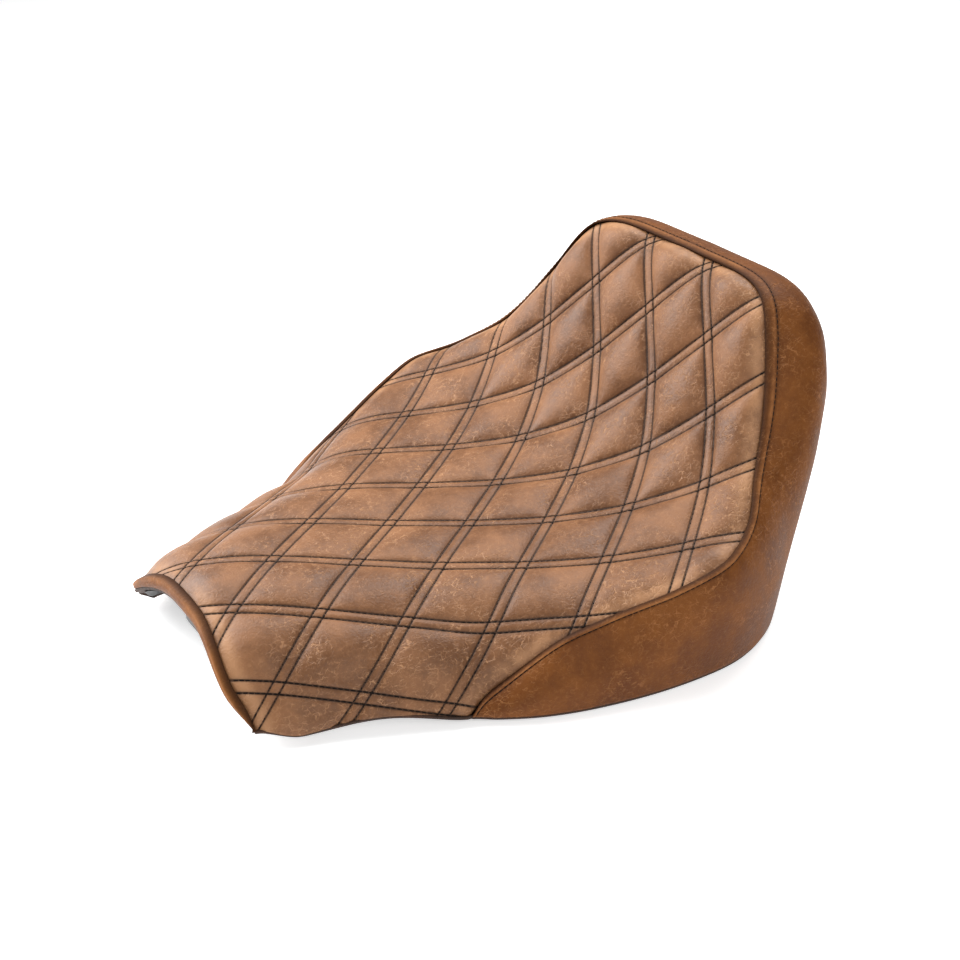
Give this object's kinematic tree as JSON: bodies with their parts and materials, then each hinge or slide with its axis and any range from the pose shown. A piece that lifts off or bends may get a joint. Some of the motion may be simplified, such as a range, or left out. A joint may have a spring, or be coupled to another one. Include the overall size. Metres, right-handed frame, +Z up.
{
  "type": "motorcycle seat",
  "caption": "Solo motorcycle seat: diamond-quilted leather saddle with a kicked-up tail and plain boxing, on a moulded pan with a front tongue and a rear screw bracket.",
  "frame": {"origin": "middle of the seat's outer box, on the plane of the lower edge", "axes": "+Z up, nose towards -Y, tail towards +Y, +X is the rider's left"},
  "size_m": [0.3924, 0.4602, 0.2086],
  "materials": {
    "top_leather": "satin distressed brown leather",
    "boxing_leather": "satin distressed orange-brown leather",
    "hem_leather": "dark brown leather",
    "cushion_foam": "moulded polyurethane foam",
    "quilt_foam": "soft sheet foam",
    "pan_plastic": "moulded black plastic",
    "bumper_rubber": "matt black rubber",
    "black_steel": "black coated steel",
    "bright_steel": "zinc plated steel"
  },
  "bodies": {
    "seat": {"quilted_top_panel": "top_leather", "quilt_foam_sheet": "quilt_foam", "side_and_rear_boxing": "boxing_leather", "nose_panel": "top_leather", "foam_cushion": "cushion_foam", "hem_nose": "hem_leather", "hem_left": "hem_leather", "hem_rear": "hem_leather", "hem_right": "hem_leather", "hem_rivet_left_1": "bright_steel", "hem_rivet_left_2": "bright_steel", "hem_rivet_left_3": "bright_steel", "hem_rivet_left_4": "bright_steel", "hem_rivet_left_5": "bright_steel", "hem_rivet_right_1": "bright_steel", "hem_rivet_right_2": "bright_steel", "hem_rivet_right_3": "bright_steel", "hem_rivet_right_4": "bright_steel", "hem_rivet_right_5": "bright_steel", "front_tongue": "black_steel", "tongue_rivet_left": "bright_steel", "tongue_rivet_right": "bright_steel", "rear_bracket": "black_steel", "bracket_washer_left": "bright_steel", "bracket_bolt_left": "bright_steel", "bracket_washer_right": "bright_steel", "bracket_bolt_right": "bright_steel", "screw_washer": "bright_steel", "bumper_front_left": "bumper_rubber", "bumper_front_right": "bumper_rubber", "bumper_rear_left": "bumper_rubber", "bumper_rear_right": "bumper_rubber", "base_pan": "pan_plastic"},
    "screw": {"mounting_screw": "bright_steel", "screw_retaining_ring": "black_steel"}
  },
  "joints": [
    {"name": "screw_turn", "type": "hinge", "parent": "seat", "child": "screw", "pos_m": [0, 0.21056, 0.014], "axis": [0, 0, 1], "continuous": true}
  ]
}
